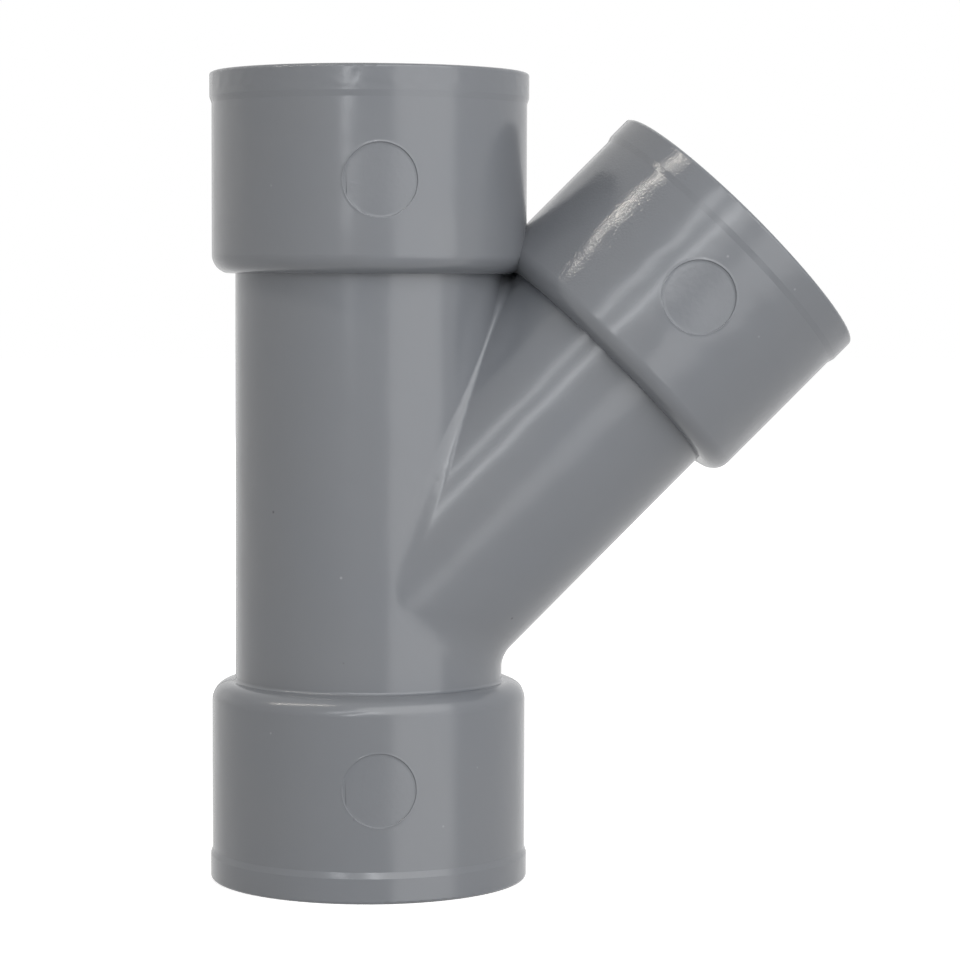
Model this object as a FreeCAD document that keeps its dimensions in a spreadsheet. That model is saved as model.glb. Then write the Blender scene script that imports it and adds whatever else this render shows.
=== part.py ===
import FreeCAD, Part
import math
import os

import Sketcher

# A lateral wye for solvent-weld waste pipe, moulded in one piece: three plain sockets around
# one crossing, two of them in line and the third branching off at an angle.
# Millimetres. The origin is the centre of the lower mouth, +Z runs up through the two sockets
# in line, and the branch leans towards +X. The front, with the moulded discs, faces -Y.

NODE = "wye_body"
ACROSS = FreeCAD.Vector(1, 0, 0)
BACK = FreeCAD.Vector(0, 1, 0)
UP = FreeCAD.Vector(0, 0, 1)


# Sizes: the ones that are set, then the ones that follow from them

DRIVING_SIZES = [
    # the pipe, and how it seats
    ("pipe_outer", 40.0),
    ("pipe_clearance", 0.2),
    ("socket_depth", 26.0),
    ("waterway_bore", 34.0),
    ("lead_in", 0.4),
    # from the crossing of the axes to each mouth
    ("lower_reach", 41.0),
    ("upper_reach", 78.2),
    ("branch_reach", 78.1),
    ("branch_angle", 45.0),
    # walls, and how much slimmer the branch is than the run
    ("socket_wall", 3.1),
    ("barrel_wall", 2.75),
    ("run_stop_wall", 3.5),
    ("branch_stop_wall", 2.5),
    ("branch_relief", 0.2),
    # the collar round each mouth, the slope behind it, and the rounded back of each socket
    ("collar_width", 3.7),
    ("collar_proud", 0.3),
    ("collar_slope", 0.9),
    ("collar_round", 0.5),
    ("shoulder_round", 2.8),
    # the blend between the barrels, from the crotch round to the heel: the crease is sharp as
    # far as its spread from the crotch, and the wide flank narrows within its spread of the heel
    ("crotch_blend", 1.2),
    ("crease_blend", 0.6),
    ("crease_spread", 40.0),
    ("side_blend", 12.0),
    ("flank_blend", 16.0),
    ("heel_spread", 40.0),
    ("heel_blend", 2.0),
    # the discs moulded on the front of the sockets
    ("disc_across", 10.6),
    ("disc_depth", 0.2),
    ("run_disc_inset", 16.3),
    ("branch_disc_inset", 13.7),
]

WORKED_OUT_SIZES = [
    ("run_length", "lower_reach + upper_reach"),
    ("bore_radius", "(pipe_outer + pipe_clearance) / 2"),
    ("socket_radius", "bore_radius + socket_wall"),
    ("collar_radius", "socket_radius + collar_proud"),
    ("waterway_radius", "waterway_bore / 2"),
    ("barrel_radius", "waterway_radius + barrel_wall"),
    ("branch_waterway_radius", "waterway_radius - branch_relief"),
    ("branch_barrel_radius", "barrel_radius - branch_relief"),
    ("run_shoulder", "socket_depth + run_stop_wall"),
    ("branch_shoulder", "socket_depth + branch_stop_wall"),
    ("branch_mouth_x", "branch_reach * sin(branch_angle)"),
    ("branch_mouth_z", "lower_reach + branch_reach * cos(branch_angle)"),
    ("branch_disc_x", "(branch_reach - branch_disc_inset) * sin(branch_angle)"),
    ("branch_disc_z", "lower_reach + (branch_reach - branch_disc_inset) * cos(branch_angle)"),
]

doc = FreeCAD.newDocument("lateral_wye")
sheet = doc.addObject("Spreadsheet::Sheet", "Dimensions")


def fill_sheet():
    cells = [(name, str(value)) for name, value in DRIVING_SIZES]
    cells += [(name, "=" + formula) for name, formula in WORKED_OUT_SIZES]
    for row, (name, content) in enumerate(cells, 1):
        sheet.set(f"A{row}", name)
        sheet.set(f"B{row}", content)
        sheet.setAlias(f"B{row}", name)
    doc.recompute()


# A formula below is sheet names and numbers with spaces round the signs between them

def in_sheet(formula):
    words = formula.split()
    return " ".join("Dimensions." + word if word[0].isalpha() else word for word in words)


def size(formula):
    total = 0.0
    sign = 1
    for word in formula.split():
        if word in "+-":
            sign = 1 if word == "+" else -1
        else:
            total += sign * float(sheet.get(word))
    return total


def bind(thing, formulas):
    for path, formula in formulas.items():
        thing.setExpression(path, in_sheet(formula))


# A turn whose angle a formula sets starts from this one, because a turn by 0 loses its axis

STARTING_TURN = 1.0


def turned_about(axis, degrees):
    return FreeCAD.Placement(FreeCAD.Vector(), FreeCAD.Rotation(axis, degrees))


# Barrels: the front halves of the two plain tubes, still solid. They run on to the mouths, and
# the sockets are bored wider than they are.

def add_cylinder(name, axis, degrees, formulas):
    cylinder = doc.addObject("Part::Cylinder", name)
    cylinder.Placement = turned_about(axis, degrees)
    bind(cylinder, formulas)
    return cylinder


def add_fuse(name, pieces, refine=False):
    fuse = doc.addObject("Part::MultiFuse", name)
    fuse.Shapes = pieces
    fuse.Refine = refine
    return fuse


def make_branch_half():
    # Sectors side by side, counted from the crotch round the front to the heel, so that an
    # edge runs along the barrel wherever the blend changes.
    sectors = [
        ("180", "crease_spread"),
        ("180 + crease_spread", "90 - crease_spread"),
        ("270", "90 - heel_spread"),
        ("360 - heel_spread", "heel_spread"),
    ]
    pieces = []
    for number, (start, span) in enumerate(sectors, 1):
        pieces.append(add_cylinder(f"branch_sector_{number}", UP, STARTING_TURN, {
            "Radius": "branch_barrel_radius",
            "Height": "branch_reach",
            "Angle": span,
            "Placement.Rotation.Angle": start,
        }))
    half = add_fuse("branch_half", pieces)
    half.Placement = turned_about(BACK, STARTING_TURN)
    bind(half, {"Placement.Rotation.Angle": "branch_angle", "Placement.Base.z": "lower_reach"})
    return half


def make_barrel_halves():
    run_half = add_cylinder("run_half", UP, 180, {
        "Radius": "barrel_radius",
        "Height": "run_length",
    })
    run_half.Angle = 180
    halves = add_fuse("barrel_halves", [run_half, make_branch_half()])
    doc.recompute()
    return halves


# Branch blend: a fillet along the crease between the barrels, with a radius that changes

def out_from_branch(point):
    lean = math.radians(size("branch_angle"))
    axis = FreeCAD.Vector(math.sin(lean), 0, math.cos(lean))
    arm = point - UP * size("lower_reach")
    return arm - axis * arm.dot(axis)


def blend_at(point):
    # the angle round the branch is 0 at the crotch, 90 at the sides and 180 at the heel
    lean = math.radians(size("branch_angle"))
    crotch_side = FreeCAD.Vector(-math.cos(lean), 0, math.sin(lean))
    angle = math.degrees(out_from_branch(point).getAngle(crotch_side))
    stations = {
        0: "crotch_blend",
        size("crease_spread"): "crease_blend",
        90: "side_blend",
        180 - size("heel_spread"): "flank_blend",
        180: "heel_blend",
    }
    nearest = min(stations, key=lambda station: abs(station - angle))
    return size(stations[nearest])


def lies_on_both_barrels(edge):
    touch = 0.01
    steps = 6
    reach = edge.LastParameter - edge.FirstParameter
    for step in range(1, steps):
        point = edge.valueAt(edge.FirstParameter + reach * step / steps)
        from_run = math.hypot(point.x, point.y)
        from_branch = out_from_branch(point).Length
        if abs(from_run - size("barrel_radius")) > touch:
            return False
        if abs(from_branch - size("branch_barrel_radius")) > touch:
            return False
    return True


def turns_left(start, end):
    turn = out_from_branch(start).cross(out_from_branch(end))
    return turn.z > 0


def make_blended_half(halves):
    # Each edge of the crease takes a radius at both ends, in the order in which its first
    # edge runs round the branch.
    crease = [(number, edge.valueAt(edge.FirstParameter), edge.valueAt(edge.LastParameter))
              for number, edge in enumerate(halves.Shape.Edges, 1)
              if lies_on_both_barrels(edge)]
    first_turn = turns_left(*crease[0][1:])
    radii = []
    for number, start, end in crease:
        if turns_left(start, end) != first_turn:
            start, end = end, start
        radii.append((number, blend_at(start), blend_at(end)))
    blended = doc.addObject("Part::Fillet", "blended_half")
    blended.Base = halves
    blended.Edges = radii
    return blended


def make_blended_barrels():
    # the back is the front mirrored in the plane of the axes, where the mould parts
    front = make_blended_half(make_barrel_halves())
    back = doc.addObject("Part::Mirroring", "back_half")
    back.Source = front
    back.Normal = BACK
    return add_fuse("blended_barrels", [front, back], refine=True)


# Sketches: a closed profile in the plane of the axes, drawn from a mouth inwards

ARMS = [
    # name, reach, shoulder, then the mouth's place and the turn that points it inwards
    ("lower", "lower_reach", "run_shoulder", {}),
    ("upper", "upper_reach", "run_shoulder", {
        "AttachmentOffset.Base.y": "run_length",
        "AttachmentOffset.Rotation.Angle": "180",
    }),
    ("branch", "branch_reach", "branch_shoulder", {
        "AttachmentOffset.Base.x": "branch_mouth_x",
        "AttachmentOffset.Base.y": "branch_mouth_z",
        "AttachmentOffset.Rotation.Angle": "180 - branch_angle",
    }),
]


def origin_plane(body, role):
    return next(plane for plane in body.Origin.OriginFeatures if plane.Role == role)


def round_between(start, end, radius):
    # the arc that bulges away from the profile's inside, which is on the left
    chord = end - start
    inwards = FreeCAD.Vector(-chord.y, chord.x, 0).normalize()
    centre = (start + end) / 2 + inwards * math.sqrt(radius ** 2 - chord.Length ** 2 / 4)
    circle = Part.Circle(centre, UP, radius)
    return Part.ArcOfCircle(circle, circle.parameter(start), circle.parameter(end))


def hold(sketch, kind, name, formula, *where):
    number = sketch.addConstraint(Sketcher.Constraint(kind, *where, size(formula)))
    sketch.renameConstraint(number, name)
    bind(sketch, {f"Constraints.{name}": formula})


def add_profile(body, name, place, corners):
    # Each corner is its distance from the axis, its distance from the mouth, None on an axis,
    # and the radius of the round that leads to it, if one does.
    start_point, end_point = 1, 2
    origin = (-1, 1)
    mouth_axis, arm_axis = -1, -2
    sketch = body.newObject("Sketcher::SketchObject", name)
    sketch.AttachmentSupport = [(origin_plane(body, "XZ_Plane"), "")]
    sketch.MapMode = "FlatFace"
    sketch.AttachmentOffset = turned_about(UP, 0)
    bind(sketch, place)
    spots = [FreeCAD.Vector(size(out) if out else 0, size(along) if along else 0, 0)
             for out, along, _ in corners]
    followers = [(number + 1) % len(corners) for number in range(len(corners))]
    for number, follower in enumerate(followers):
        start, end = spots[number], spots[follower]
        rounding = corners[follower][2]
        if rounding:
            sketch.addGeometry(round_between(start, end, size(rounding)))
        else:
            sketch.addGeometry(Part.LineSegment(start, end))
    for number, follower in enumerate(followers):
        sketch.addConstraint(Sketcher.Constraint(
            "Coincident", number, end_point, follower, start_point))
        out, along, _ = corners[number]
        rounding = corners[follower][2]
        if out:
            hold(sketch, "DistanceX", f"out_{number}", out, *origin, number, start_point)
        else:
            sketch.addConstraint(Sketcher.Constraint(
                "PointOnObject", number, start_point, arm_axis))
        if along:
            hold(sketch, "DistanceY", f"along_{number}", along, *origin, number, start_point)
        else:
            sketch.addConstraint(Sketcher.Constraint(
                "PointOnObject", number, start_point, mouth_axis))
        if rounding:
            hold(sketch, "Radius", f"round_{number}", rounding, number)
    return sketch


# Turned features: a profile spun about its own arm's axis, added to a body or cut from it

def add_turned(body, kind, name, profile):
    feature = body.newObject(kind, name)
    feature.Profile = profile
    feature.ReferenceAxis = (profile, ["V_Axis"])
    feature.Angle = 360
    profile.Visibility = False
    doc.recompute()
    return feature


def add_socket(body, arm, shoulder, place):
    profile = add_profile(body, f"{arm}_socket_profile", place, [
        (None, None, None),
        ("collar_radius - collar_round", None, None),
        ("collar_radius", "collar_round", "collar_round"),
        ("collar_radius", "collar_width", None),
        ("socket_radius", "collar_width + collar_slope", None),
        ("socket_radius", f"{shoulder} - shoulder_round", None),
        ("socket_radius - shoulder_round", shoulder, "shoulder_round"),
        (None, shoulder, None),
    ])
    add_turned(body, "PartDesign::Revolution", f"{arm}_socket", profile)


def add_bore(body, arm, reach, place):
    waterway = "branch_waterway_radius" if arm == "branch" else "waterway_radius"
    profile = add_profile(body, f"{arm}_bore_profile", place, [
        (None, None, None),
        ("bore_radius + lead_in", None, None),
        ("bore_radius", "lead_in", None),
        ("bore_radius", "socket_depth", None),
        (waterway, "socket_depth", None),
        (waterway, reach, None),
        (None, reach, None),
    ])
    solid_volume = body.Shape.Volume
    add_turned(body, "PartDesign::Groove", f"{arm}_bore", profile)
    if body.Shape.Volume >= solid_volume:
        raise RuntimeError(f"the {arm} bore cuts nothing")


def add_body(name, base):
    body = doc.addObject("PartDesign::Body", name)
    body.BaseFeature = base
    doc.recompute()
    return body


# Discs: shallow round sinks in the front of each socket, their floors curved as the wall is

def add_disc_pin(name, place):
    formulas = {"Radius": "disc_across / 2", "Height": "collar_radius"}
    return add_cylinder(name, ACROSS, 90, {**formulas, **place})


def add_disc_sink(name, pins, core):
    sink = doc.addObject("Part::Cut", name)
    sink.Base = pins
    sink.Tool = core
    return sink


def make_discs():
    run_pins = add_fuse("run_disc_pins", [
        add_disc_pin("lower_disc_pin", {"Placement.Base.z": "run_disc_inset"}),
        add_disc_pin("upper_disc_pin", {"Placement.Base.z": "run_length - run_disc_inset"}),
    ])
    run_core = add_cylinder("run_disc_core", UP, 0, {
        "Radius": "socket_radius - disc_depth",
        "Height": "run_length",
    })
    branch_pin = add_disc_pin("branch_disc_pin", {
        "Placement.Base.x": "branch_disc_x",
        "Placement.Base.z": "branch_disc_z",
    })
    branch_core = add_cylinder("branch_disc_core", BACK, STARTING_TURN, {
        "Radius": "socket_radius - disc_depth",
        "Height": "branch_reach",
        "Placement.Rotation.Angle": "branch_angle",
        "Placement.Base.z": "lower_reach",
    })
    return add_fuse("discs", [
        add_disc_sink("run_disc_sinks", run_pins, run_core),
        add_disc_sink("branch_disc_sink", branch_pin, branch_core),
    ])


# Moulding: the outside is finished first, still solid, and then bored from each mouth

def make_outside():
    outside = add_body("outside", make_blended_barrels())
    for arm, _, shoulder, place in ARMS:
        add_socket(outside, arm, shoulder, place)
    marked_outside = doc.addObject("Part::Cut", "marked_outside")
    marked_outside.Base = outside
    marked_outside.Tool = make_discs()
    return marked_outside


def make_wye():
    wye = add_body("wye", make_outside())
    for arm, reach, _, place in ARMS:
        add_bore(wye, arm, reach, place)
    wye.Label = NODE
    return wye


def check(thing):
    for item in doc.Objects:
        if "Invalid" in item.State or "Error" in item.State:
            raise RuntimeError(f"{item.Label} did not build: {item.State}")
    if thing.Shape.isNull() or not thing.Shape.isValid():
        raise RuntimeError(f"{thing.Label} has no sound shape")
    if len(thing.Shape.Solids) != 1:
        raise RuntimeError(f"{thing.Label} is not one solid")


fill_sheet()
wye = make_wye()
check(wye)
os.makedirs("parts", exist_ok=True)
wye.Shape.exportStep(f"parts/{NODE}.step")

box = wye.Shape.optimalBoundingBox()
print(f"{NODE}: {box.XLength:.2f} x {box.YLength:.2f} x {box.ZLength:.2f} mm,",
      f"{wye.Shape.Volume / 1000:.2f} cm3, {len(wye.Shape.Faces)} faces")
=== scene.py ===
import math

import bmesh
import bpy
from mathutils import Matrix, Vector, noise


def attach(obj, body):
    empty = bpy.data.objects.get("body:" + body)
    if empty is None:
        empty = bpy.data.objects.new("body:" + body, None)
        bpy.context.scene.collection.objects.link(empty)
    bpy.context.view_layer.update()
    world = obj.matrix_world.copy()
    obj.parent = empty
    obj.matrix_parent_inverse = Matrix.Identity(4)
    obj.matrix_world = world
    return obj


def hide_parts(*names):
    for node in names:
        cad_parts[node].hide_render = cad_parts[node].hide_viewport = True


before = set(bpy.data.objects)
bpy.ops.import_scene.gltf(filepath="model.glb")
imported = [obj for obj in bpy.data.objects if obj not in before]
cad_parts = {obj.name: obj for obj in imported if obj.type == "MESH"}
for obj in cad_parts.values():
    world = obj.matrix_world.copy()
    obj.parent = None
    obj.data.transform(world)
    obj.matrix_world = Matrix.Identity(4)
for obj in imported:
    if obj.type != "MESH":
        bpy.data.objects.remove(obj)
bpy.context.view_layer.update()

# Lateral wye for waste pipe, moulded in one piece of grey plastic. Metres.
# +Z runs up the straight run from its lower mouth, and the branch leans towards +X.


# Shader maths

class Wire:
    # a socket that works in expressions, where each sign adds its node
    def __init__(self, tree, socket):
        self.tree = tree
        self.socket = socket

    def maths(self, operation, *values):
        return self.tree.node("ShaderNodeMath", {"operation": operation}, dict(enumerate(values)))

    def __add__(self, other):
        return self.maths("ADD", self, other)

    def __sub__(self, other):
        return self.maths("SUBTRACT", self, other)

    def __rsub__(self, other):
        return self.maths("SUBTRACT", other, self)

    def __mul__(self, other):
        return self.maths("MULTIPLY", self, other)

    def largest(self, other):
        return self.maths("MAXIMUM", self, other)

    def above(self, limit):
        return self.maths("GREATER_THAN", self, limit)

    def clamped(self):
        # kept between 0 and 1
        return self.tree.node("ShaderNodeMath", {"operation": "ADD", "use_clamp": True},
                              {0: self, 1: 0})

    __radd__ = __add__
    __rmul__ = __mul__


class Shader:
    # the nodes of a material or of the world
    def __init__(self, owner):
        owner.use_nodes = True
        self.tree = owner.node_tree
        self.tree.nodes.clear()

    def node(self, kind, settings=None, inputs=None, output=0):
        # gives one output by its name or number, or with None all of them by name
        made = self.tree.nodes.new(kind)
        for name, value in (settings or {}).items():
            setattr(made, name, value)
        for name, value in (inputs or {}).items():
            if isinstance(value, Wire):
                self.tree.links.new(value.socket, made.inputs[name])
            else:
                made.inputs[name].default_value = value
        if output is None:
            return {socket.name: Wire(self, socket) for socket in made.outputs}
        return Wire(self, made.outputs[output]) if made.outputs else None


# Grey plastic

plasticLook = {
    # lengths in millimetres
    "cool": (0.186, 0.199, 0.221, 1),
    "warm": (0.202, 0.210, 0.224, 1),
    "cloud": 17,            # size of the patches of either colour
    "fleck": (0.34, 0.35, 0.36, 1),
    "speck": (0.07, 0.072, 0.075, 1),
    "fleckSpacing": 5,
    "fleckSize": 0.13,
    "fleckShare": 0.14,     # how many of the dots are pale flecks
    "speckShare": 0.1,      # and how many are dark specks
    "gloss": 0.2,           # roughness of the moulded skin
    "glossChange": 0.07,
    "glossPatch": 9,
    "mattDisc": 0.05,       # how much rougher the discs are
    # size and height of the skin's relief
    "waves": ((13, 0.22), (4.5, 0.035)),
    "peel": (0.55, 0.002),
    "socketWaves": (7, 0.17),       # also on the outside of the branch's socket
    "grain": (0.34, 0.03),          # also along the upper side of that socket
    "grainGloss": 0.1,              # how much smoother the grain's facets are
    "collarWaves": (2.8, 0.15),     # also on the run's upper collar
    "discPeel": (0.7, 0.02),
    "discLip": (2.0, 0.07),         # the uneven lip round each disc
    "lipWidth": 0.4,
}
plasticPlaces = {
    # where each finish starts and where it is complete, in millimetres; along the branch is
    # (x + z) / root 2, and across it is (x - z) / root 2
    "socketAlong": (79.5, 82),
    "socketX": (22, 27),            # clear of the run
    "socketRadius": (21.5, 22.5),   # the outside alone
    "branchAxis": -28.99,           # across the branch
    "upperSideEnd": (-43, -38),     # across the branch
    "upperCollar": (115.6, 116.6),
    "front": (18, 20),              # towards the front, where the discs are
    "discBorder": 0.1,
}
discPlaces = ((0, 16.3), (0, 102.9), (45.54, 86.54))    # x and z of each disc's middle
discReach = 5.3
millimetre = 0.001


def makePlastic():
    material = bpy.data.materials.new("greyPlastic")
    tree = Shader(material)
    place = tree.node("ShaderNodeTexCoord", output="Object")
    axis = tree.node("ShaderNodeSeparateXYZ", None, {0: place}, None)

    def patches(size, detail=3):
        # from 0 to 1, with patches of this size in millimetres
        return tree.node("ShaderNodeTexNoise", None, {
            "Vector": place,
            "Scale": 1 / (size * millimetre),
            "Detail": detail,
        }, "Fac")

    def rising(value, low, high):
        return tree.node("ShaderNodeMapRange", {"interpolation_type": "SMOOTHSTEP"}, {
            "Value": value,
            "From Min": low * millimetre,
            "From Max": high * millimetre,
        })

    def mixed(factor, first, second):
        return tree.node("ShaderNodeMix", {"data_type": "RGBA"}, {
            "Factor": factor,
            6: first,
            7: second,
        }, 2)

    # where the branch's socket, the upper collar and the discs are
    alongBranch = (axis["X"] + axis["Z"]) * math.sqrt(0.5)
    acrossBranch = (axis["X"] - axis["Z"]) * math.sqrt(0.5)
    besideAxis = tree.node("ShaderNodeCombineXYZ", None, {
        0: axis["Y"],
        1: acrossBranch - plasticPlaces["branchAxis"] * millimetre,
    })
    fromAxis = tree.node("ShaderNodeVectorMath", {"operation": "LENGTH"}, {0: besideAxis}, "Value")
    onSocket = (rising(alongBranch, *plasticPlaces["socketAlong"])
                * rising(axis["X"], *plasticPlaces["socketX"])
                * rising(fromAxis, *plasticPlaces["socketRadius"]))
    onUpperSide = onSocket * (1 - rising(acrossBranch, *plasticPlaces["upperSideEnd"]))
    onUpperCollar = rising(axis["Z"], *plasticPlaces["upperCollar"])
    discs = 0
    lips = 0
    border = plasticPlaces["discBorder"]
    lipWidth = plasticLook["lipWidth"]
    for x, z in discPlaces:
        flat = tree.node("ShaderNodeCombineXYZ", None, {0: axis["X"], 2: axis["Z"]})
        away = tree.node("ShaderNodeVectorMath", {"operation": "DISTANCE"}, {
            0: flat,
            1: (x * millimetre, 0, z * millimetre),
        }, "Value")
        discs = discs + (1 - rising(away, discReach - border, discReach + border))
        lips = lips + (rising(away, discReach - lipWidth, discReach)
                       * (1 - rising(away, discReach, discReach + lipWidth)))
    onFront = rising(axis["Y"] * -1, *plasticPlaces["front"])
    onDisc = discs * onFront
    onLip = lips * onFront

    # colour: faint clouds, a few pale flecks and dark specks
    colour = mixed(patches(plasticLook["cloud"]), plasticLook["cool"], plasticLook["warm"])
    dots = tree.node("ShaderNodeTexVoronoi", None, {
        "Vector": place,
        "Scale": 1 / (plasticLook["fleckSpacing"] * millimetre),
    }, None)
    chance = tree.node("ShaderNodeSeparateColor", None, {0: dots["Color"]}, "Red")
    reach = plasticLook["fleckSize"] / plasticLook["fleckSpacing"]
    nearDot = (1 - dots["Distance"] * (0.5 / reach)).clamped()
    pale = chance.above(1 - plasticLook["fleckShare"])
    dark = 1 - chance.above(plasticLook["speckShare"])
    colour = mixed(nearDot * pale, colour, plasticLook["fleck"])
    colour = mixed(nearDot * dark, colour, plasticLook["speck"])

    # gloss: a moulded skin, less even in places
    roughness = (plasticLook["gloss"]
                 + (patches(plasticLook["glossPatch"]) - 0.5) * plasticLook["glossChange"]
                 + onDisc * plasticLook["mattDisc"] - onUpperSide * plasticLook["grainGloss"])

    # relief in metres, up and down from the skin, or from the level of its lowest points
    def relief(look, level=0.5):
        size, height = look
        return (patches(size, 1) - level) * (height * millimetre)

    longWaves, shortWaves = plasticLook["waves"]
    height = (relief(longWaves) + relief(shortWaves)
              + relief(plasticLook["peel"])
              + relief(plasticLook["socketWaves"]) * onSocket
              + relief(plasticLook["grain"]) * onUpperSide
              + relief(plasticLook["collarWaves"]) * onUpperCollar
              + relief(plasticLook["discPeel"]) * onDisc
              + relief(plasticLook["discLip"], 0) * onLip)
    normal = tree.node("ShaderNodeBump", None, {"Strength": 1, "Distance": 1, "Height": height})

    surface = tree.node("ShaderNodeBsdfPrincipled", None, {
        "Base Color": colour,
        "Roughness": roughness,
        "Normal": normal,
        "IOR": 1.5,
    })
    tree.node("ShaderNodeOutputMaterial", None, {"Surface": surface})
    print("plastic:", len(tree.tree.nodes), "nodes")
    return material


# Moulding

mouldingForm = {
    # lengths in millimetres: an arm's round walls are given by radius, and its rounded corners by
    # their centre, out from the arm's axis and along it, and their radius; a flat is given by its
    # place along the axis, with 1 where it looks up the axis and -1 where it looks down
    "run": {
        "foot": (0, 0, 0),
        "lean": 0,
        "walls": (23.5, 23.2, 23.0, 20.1, 19.75, 17.0),
        "rounds": ((23.0, 0.5, 0.5), (20.4, 26.7, 2.8), (20.4, 92.5, 2.8), (23.0, 118.7, 0.5)),
        "flats": ((0, -1), (26, -1), (93.2, 1), (119.2, 1)),
    },
    "branch": {
        "foot": (0, 0, 41.0),
        "lean": 45,
        "walls": (23.5, 23.2, 23.0, 20.1, 19.55, 16.8),
        "rounds": ((23.0, 77.6, 0.5), (20.4, 52.4, 2.8)),
        "flats": ((52.1, 1), (78.1, 1)),
    },
    "touch": 0.003,         # how close the solid's points lie to their wall
    "facet": 3,             # degrees of wall that one facet turns through
    "sharpest": 24,         # degrees between two faces that still shade as one
    "tangent": 9,           # degrees within which a free face takes a wall's shading
    "footRing": (19.75, 29.5, 0.45),    # radius and height of the lower shoulder's ring, its fillet
    "ringRoom": 1.4,        # height kept clear above that ring, in fillets
    "discEdge": 0.09,
    "discsBefore": -18,     # the y that the discs' edges lie in front of
    "roundSteps": 5,
    "softSlope": 0.35,      # how much of its tilt a collar's slope shades with, above the lowest
    "parting": (0.3, 0.05, 5),          # width, height and unevenness of the line round the outside
    "partingHeights": (0.7, 0.5),       # its even share of the height, and its uneven one
    "outward": 0.3,         # how far an outside face looks away from its arm
}
closeness = {
    # metres
    "merge": 1e-7,
    "plane": 1e-6,
    "cut": 2e-6,
    "crest": 3e-6,
    "height": 1e-5,
    "ring": 2e-5,
    "wall": 3e-5,
}
shadedAlone = -1
slopeOf = {"run": -2, "branch": -3}     # the numbers of each arm's slope behind its collar


def axisOf(arm):
    lean = math.radians(arm["lean"])
    return Vector(arm["foot"]) * millimetre, Vector((math.sin(lean), 0, math.cos(lean)))


def listForms():
    # every wall and rounded corner, as (foot, axis, centre out, centre along, radius)
    forms = []
    for name in ("run", "branch"):
        arm = mouldingForm[name]
        foot, axis = axisOf(arm)
        forms += [(foot, axis, 0, None, radius * millimetre) for radius in arm["walls"]]
        forms += [(foot, axis, out * millimetre, along * millimetre, radius * millimetre)
                  for out, along, radius in arm["rounds"]]
    return forms


def armOf(point, form):
    # from the centre line of the form's arc to the point
    foot, axis, out, along, _ = form
    along = (point - foot).dot(axis) if along is None else along
    centre = foot + axis * along
    away = point - foot
    away -= axis * away.dot(axis)
    if away.length > 0:
        centre += away.normalized() * out
    return point - centre, centre


def missOf(point, form):
    return abs(armOf(point, form)[0].length - form[4])


def pressed(point, form):
    arm, centre = armOf(point, form)
    return centre + arm.normalized() * form[4]


def runsAlong(form, axis):
    return (form[1] - axis).length < closeness["plane"]


def onCollar(form, name):
    # whether the form is one of the two outer walls of this arm
    arm = mouldingForm[name]
    walls = [radius * millimetre for radius in arm["walls"][:2]]
    return form[3] is None and form[4] in walls and runsAlong(form, axisOf(arm)[1])


def nameForms(shape, forms):
    # each face keeps the number of the form that all its corners lie on, or 0
    layer = shape.faces.layers.int.new("form")
    touch = mouldingForm["touch"] * millimetre
    on = {}
    for vert in shape.verts:
        on[vert] = {number for number, form in enumerate(forms, 1)
                    if missOf(vert.co, form) < touch}
    for face in shape.faces:
        shared = set.intersection(*(on[vert] for vert in face.verts))
        face[layer] = min(shared) if shared else 0
        for name, slope in slopeOf.items():
            collar = {number for number, form in enumerate(forms, 1) if onCollar(form, name)}
            if not shared and all(on[vert] & collar for vert in face.verts):
                face[layer] = slope
    return layer


def cutAcross(shape, faces, place, direction):
    edges = dict.fromkeys(edge for face in faces for edge in face.edges)
    verts = dict.fromkeys(vert for face in faces for vert in face.verts)
    bmesh.ops.bisect_plane(shape, geom=[*faces, *edges, *verts], dist=closeness["cut"],
                           plane_co=place, plane_no=direction)


def cutFacets(shape, layer, forms):
    # planes through each arm's axis divide its round walls evenly
    for name in ("run", "branch"):
        foot, axis = axisOf(mouldingForm[name])
        numbers = {number for number, form in enumerate(forms, 1)
                   if form[3] is None and runsAlong(form, axis)} | {slopeOf[name]}
        steps = 180 // mouldingForm["facet"]
        for step in range(steps):
            turn = Matrix.Rotation(math.pi * step / steps, 3, axis)
            faces = [face for face in shape.faces if face[layer] in numbers]
            cutAcross(shape, faces, foot, turn @ Vector((0, 1, 0)))


def pressOnForms(shape, layer, forms):
    # a point on several forms goes round them three times, to settle on all
    for vert in shape.verts:
        numbers = sorted({face[layer] for face in vert.link_faces if face[layer] > 0})
        for number in numbers * (3 if len(numbers) > 1 else 1):
            vert.co = pressed(vert.co, forms[number - 1])


def roundEdges(shape, layer, edges, width):
    made = bmesh.ops.bevel(shape, geom=edges, offset=width * millimetre, offset_type="OFFSET",
                           segments=mouldingForm["roundSteps"], profile=0.5, affect="EDGES",
                           material=-1)
    for face in made["faces"]:
        face[layer] = shadedAlone


def clearBarrel(shape):
    # leaves upright edges alone on the barrel just above the ring, so that its fillet has room
    radius, height, width = (value * millimetre for value in mouldingForm["footRing"])
    top = height + mouldingForm["ringRoom"] * width

    def onBarrel(face):
        return all(abs(math.hypot(vert.co.x, vert.co.y) - radius) < closeness["wall"]
                   and vert.co.z > height - closeness["height"] for vert in face.verts)

    def isSlanted(edge):
        return abs(edge.verts[0].co.z - edge.verts[1].co.z) < 0.999 * edge.calc_length()

    cutAcross(shape, [face for face in shape.faces
                      if onBarrel(face) and min(vert.co.z for vert in face.verts) < top],
              (0, 0, top), (0, 0, 1))
    band = {face for face in shape.faces
            if onBarrel(face) and max(vert.co.z for vert in face.verts) < top + closeness["height"]}
    slanted = [edge for edge in shape.edges if len(edge.link_faces) == 2
               and band.issuperset(edge.link_faces) and isSlanted(edge)]
    bmesh.ops.dissolve_edges(shape, edges=slanted, use_verts=True)


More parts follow.
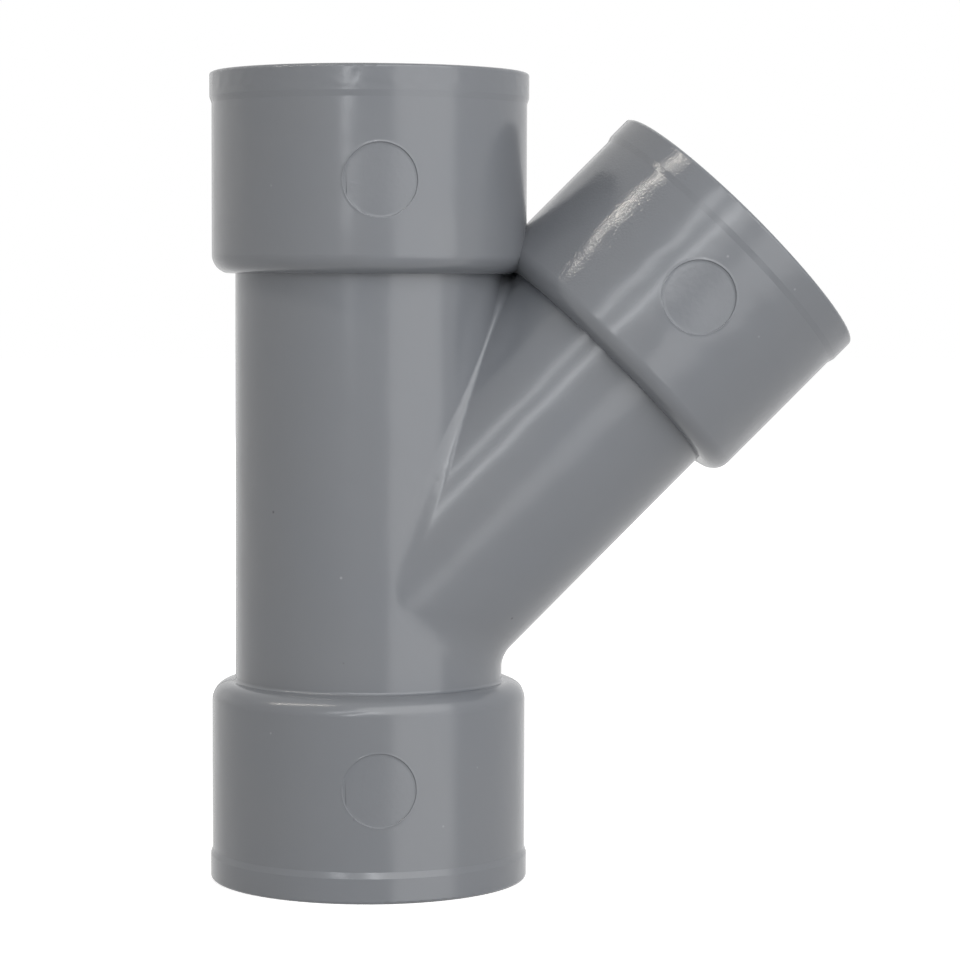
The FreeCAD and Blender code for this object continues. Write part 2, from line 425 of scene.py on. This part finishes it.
def findFootRing(shape):
    radius, height, _ = mouldingForm["footRing"]

    def onRing(point):
        return (abs(point.z - height * millimetre) < closeness["height"]
                and abs(math.hypot(point.x, point.y) - radius * millimetre) < closeness["ring"])

    return [edge for edge in shape.edges if all(onRing(vert.co) for vert in edge.verts)]


def findDiscEdges(shape, layer):
    # the upper edge of each disc's wall, between a numbered wall and the disc's own short one
    found = []
    for edge in shape.edges:
        middle = (edge.verts[0].co + edge.verts[1].co) / 2
        numbers = sorted(face[layer] for face in edge.link_faces)
        inFront = middle.y <= mouldingForm["discsBefore"] * millimetre
        if not inFront or len(numbers) != 2 or numbers[0] > 0 or numbers[1] < 1:
            continue
        for x, z in discPlaces:
            away = math.hypot(middle.x - x * millimetre, middle.z - z * millimetre)
            if abs(away - discReach * millimetre) < closeness["wall"]:
                found.append(edge)
    return found


def liesOutside(face):
    # whether the face looks away from the nearer arm's axis
    point = face.calc_center_median()
    away = []
    for name in ("run", "branch"):
        foot, axis = axisOf(mouldingForm[name])
        out = point - foot
        out -= axis * out.dot(axis)
        away.append(out)
    nearer = min(away, key=lambda out: out.length)
    return face.normal.dot(nearer) > mouldingForm["outward"] * nearer.length


def raiseParting(shape, layer):
    # the fine line round the outside where the halves of the mould met
    width, height, patch = (value * millimetre for value in mouldingForm["parting"])
    even, uneven = mouldingForm["partingHeights"]
    near = closeness["crest"]
    for side in (-width / 2, 0, width / 2):
        shape.normal_update()
        faces = [face for face in shape.faces if liesOutside(face)]
        cutAcross(shape, faces, (0, side, 0), (0, 1, 0))
    shape.normal_update()
    crest = set()
    for face in shape.faces:
        if liesOutside(face) and all(abs(vert.co.y) < width / 2 + near for vert in face.verts):
            face[layer] = shadedAlone
            crest |= {vert for vert in face.verts if abs(vert.co.y) < near}
    lifts = {vert: vert.normal * height * (even + uneven * noise.noise(vert.co / patch))
             for vert in crest}
    for vert, lift in lifts.items():
        lift.y = 0
        vert.co += lift
    print("parting line:", len(crest), "points")


def sortElements(shape):
    # Blender's cuts and bevels leave their faces in another order each run
    def corners(element):
        return sorted(vert.index for vert in element.verts)

    for elements, key in ((shape.verts, lambda vert: tuple(vert.co)),
                          (shape.edges, corners), (shape.faces, corners)):
        for index, element in enumerate(sorted(elements, key=key)):
            element.index = index
        elements.sort()


def flatUnder(points):
    # the normal of the mouth or stop that the points lie on, if any
    for name in ("run", "branch"):
        foot, axis = axisOf(mouldingForm[name])
        for along, side in mouldingForm[name]["flats"]:
            if all(abs((point - foot).dot(axis) - along * millimetre) < closeness["plane"]
                   for point in points):
                return axis * side
    return None


def setNormals(mesh, forms, numbers):
    # a corner on a round wall takes the wall's own normal, and one on a slope or flat theirs
    normals = []
    freeLimit, wallLimit = (math.cos(math.radians(mouldingForm[name]))
                            for name in ("tangent", "sharpest"))
    axes = {slopeOf[name]: axisOf(mouldingForm[name]) for name in slopeOf}
    onForm = {}
    for polygon in mesh.polygons:
        for index in polygon.vertices:
            if numbers[polygon.index] > 0:
                onForm.setdefault(index, set()).add(numbers[polygon.index])
    for polygon in mesh.polygons:
        own = numbers[polygon.index]
        corners = [mesh.vertices[index].co for index in polygon.vertices]
        flat = None if own else flatUnder(corners)
        for index in polygon.vertices:
            best = (0, 0, 0)        # Blender's own normal
            closest = wallLimit if own > 0 else freeLimit
            point = mesh.vertices[index].co
            if flat:
                best = flat
            elif own in axes:
                foot, axis = axes[own]
                out = point - foot
                out = (out - axis * out.dot(axis)).normalized()
                rise = polygon.normal.dot(axis)
                rise *= 1 if own == slopeOf["run"] and rise > 0 else mouldingForm["softSlope"]
                best = out * math.sqrt(1 - rise * rise) + axis * rise
            elif own > shadedAlone:
                for number in ({own} if own else onForm.get(index, ())):
                    normal = armOf(point, forms[number - 1])[0].normalized()
                    match = normal.dot(polygon.normal)
                    if abs(match) > closest:
                        closest = abs(match)
                        best = normal if match > 0 else -normal
            normals.append(best)
    mesh.normals_split_custom_set(normals)


def makeMoulding():
    shape = bmesh.new()
    shape.from_mesh(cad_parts["wye_body"].data)
    bmesh.ops.remove_doubles(shape, verts=shape.verts, dist=closeness["merge"])
    forms = listForms()
    layer = nameForms(shape, forms)
    cutFacets(shape, layer, forms)
    pressOnForms(shape, layer, forms)
    clearBarrel(shape)
    ring = findFootRing(shape)
    discEdges = findDiscEdges(shape, layer)
    print("edges rounded:", len(ring), "round the foot,", len(discEdges), "round the discs")
    roundEdges(shape, layer, ring, mouldingForm["footRing"][2])
    roundEdges(shape, layer, discEdges, mouldingForm["discEdge"])
    raiseParting(shape, layer)
    bmesh.ops.triangulate(shape, faces=[face for face in shape.faces if len(face.verts) > 4])
    sortElements(shape)
    numbers = [face[layer] for face in shape.faces]
    mesh = bpy.data.meshes.new("wyeMoulding")
    shape.to_mesh(mesh)
    shape.free()
    mesh.shade_smooth()
    mesh.set_sharp_from_angle(angle=math.radians(mouldingForm["sharpest"]))
    setNormals(mesh, forms, numbers)
    piece = bpy.data.objects.new("wyeMoulding", mesh)
    bpy.context.scene.collection.objects.link(piece)
    mesh.materials.append(makePlastic())
    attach(piece, "root")
    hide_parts("wye_body")
    print("moulding:", len(mesh.polygons), "faces,", numbers.count(0), "of them free")


# Camera

cameraView = {
    "place": (-0.03145, -0.47755, 0.08934),
    "aim": (0.01652, 0.0, 0.05911),
    "roll": 0.2,            # degrees
    "lens": 121.08,
    "nearest": 0.01,
}


def makeCamera():
    data = bpy.data.cameras.new("camera")
    data.lens = cameraView["lens"]
    data.clip_start = cameraView["nearest"]
    camera = bpy.data.objects.new("camera", data)
    place = Vector(cameraView["place"])
    gaze = Vector(cameraView["aim"]) - place
    roll = Matrix.Rotation(math.radians(cameraView["roll"]), 3, "Z")
    turn = gaze.to_track_quat("-Z", "Y").to_matrix() @ roll
    camera.matrix_world = Matrix.Translation(place) @ turn.to_4x4()
    bpy.context.scene.collection.objects.link(camera)
    bpy.context.scene.camera = camera
    print("camera:", data.lens, "mm lens")


# Studio

studioSet = {
    # each softbox as (azimuth, elevation, roll) in degrees, (width, height) in metres, brightness
    # and colour; azimuth 0 stands in front, and turns towards +X
    "softboxes": {
        "key": ((28, 37, 0), (1.4, 1.0), 2.45, (1, 1, 1)),
        "lowKey": ((36, -3, 0), (1.06, 0.75), 1.6, (1, 1, 1)),
        "stripHigh": ((-23, 27, -45), (0.08, 0.7), 6.5, (0.96, 0.98, 1)),
        "stripLow": ((-11, 16, -45), (0.08, 0.7), 8.0, (0.96, 0.98, 1)),
        "stripSide": ((-78, 51, -45), (0.035, 0.8), 35.0, (1, 0.94, 0.84)),
        "rim": ((-128, 12, 0), (0.9, 0.4), 0.15, (1, 1, 1)),
        "back": ((172, 28, 0), (1.6, 1.0), 1.3, (1, 1, 1)),
    },
    "unseen": ("back",),    # softboxes that give light but no reflection of their own
    "distance": 1.2,        # from the middle of the moulding
    "middle": (0.015, 0, 0.06),
    "fill": 0.02,           # the world's brightness where the camera doesn't see it
    "floorColour": (0.7, 0.7, 0.7, 1),
    "floorGlow": (0.75, 1.0),           # beside the moulding, and far from it
    "floorFar": (0.1, 0.6),             # how far out the floor's glow starts and ends its rise
    "floorSize": 6,
}


def makeSoftbox(name, stand, size, brightness, colour):
    azimuth, elevation, roll = (math.radians(angle) for angle in stand)
    out = Vector((math.sin(azimuth) * math.cos(elevation),
                  -math.cos(azimuth) * math.cos(elevation),
                  math.sin(elevation)))
    data = bpy.data.lights.new(name, "AREA")
    data.shape = "RECTANGLE"
    data.size, data.size_y = size
    data.energy = brightness * math.pi * size[0] * size[1]
    data.color = colour
    lamp = bpy.data.objects.new(name, data)
    place = Matrix.Translation(Vector(studioSet["middle"]) + out * studioSet["distance"])
    turn = out.to_track_quat("Z", "Y").to_matrix() @ Matrix.Rotation(roll, 3, "Z")
    lamp.matrix_world = place @ turn.to_4x4()
    lamp.visible_glossy = name not in studioSet["unseen"]
    bpy.context.scene.collection.objects.link(lamp)


def seenDirectly(tree):
    # 1 for the camera, and for what glossy and clear surfaces show of the background
    rays = tree.node("ShaderNodeLightPath", output=None)
    seen = rays["Is Camera Ray"].largest(rays["Is Glossy Ray"])
    return seen.largest(rays["Is Transmission Ray"])


def makeWorld():
    world = bpy.data.worlds.new("studio")
    bpy.context.scene.world = world
    tree = Shader(world)
    fill = studioSet["fill"]
    background = tree.node("ShaderNodeBackground", None, {
        "Color": (1, 1, 1, 1),
        "Strength": seenDirectly(tree) * (1 - fill) + fill,
    })
    tree.node("ShaderNodeOutputWorld", None, {"Surface": background})


def makeFloor():
    shape = bmesh.new()
    bmesh.ops.create_grid(shape, x_segments=1, y_segments=1, size=studioSet["floorSize"] / 2)
    mesh = bpy.data.meshes.new("floor")
    shape.to_mesh(mesh)
    shape.free()
    material = bpy.data.materials.new("paleFloor")
    tree = Shader(material)
    matt = tree.node("ShaderNodeBsdfDiffuse", None, {"Color": studioSet["floorColour"]})
    place = tree.node("ShaderNodeTexCoord", output="Object")
    away = tree.node("ShaderNodeVectorMath", {"operation": "LENGTH"}, {0: place}, "Value")
    rise = tree.node("ShaderNodeMapRange", {"interpolation_type": "SMOOTHSTEP"}, {
        "Value": away,
        "From Min": studioSet["floorFar"][0],
        "From Max": studioSet["floorFar"][1],
        "To Min": studioSet["floorGlow"][0],
        "To Max": studioSet["floorGlow"][1],
    })
    glow = tree.node("ShaderNodeEmission", None, {"Strength": seenDirectly(tree) * rise})
    both = tree.node("ShaderNodeAddShader", None, {0: matt, 1: glow})
    tree.node("ShaderNodeOutputMaterial", None, {"Surface": both})
    mesh.materials.append(material)
    floor = bpy.data.objects.new("floor", mesh)
    bpy.context.scene.collection.objects.link(floor)
    floor.visible_glossy = False        # the plastic shows the softboxes down to its foot
    print("studio:", len(studioSet["softboxes"]), "softboxes and the floor")


makeMoulding()
makeCamera()
for name, softbox in studioSet["softboxes"].items():
    makeSoftbox(name, *softbox)
makeWorld()
makeFloor()
bpy.context.scene.view_settings.view_transform = "Standard"
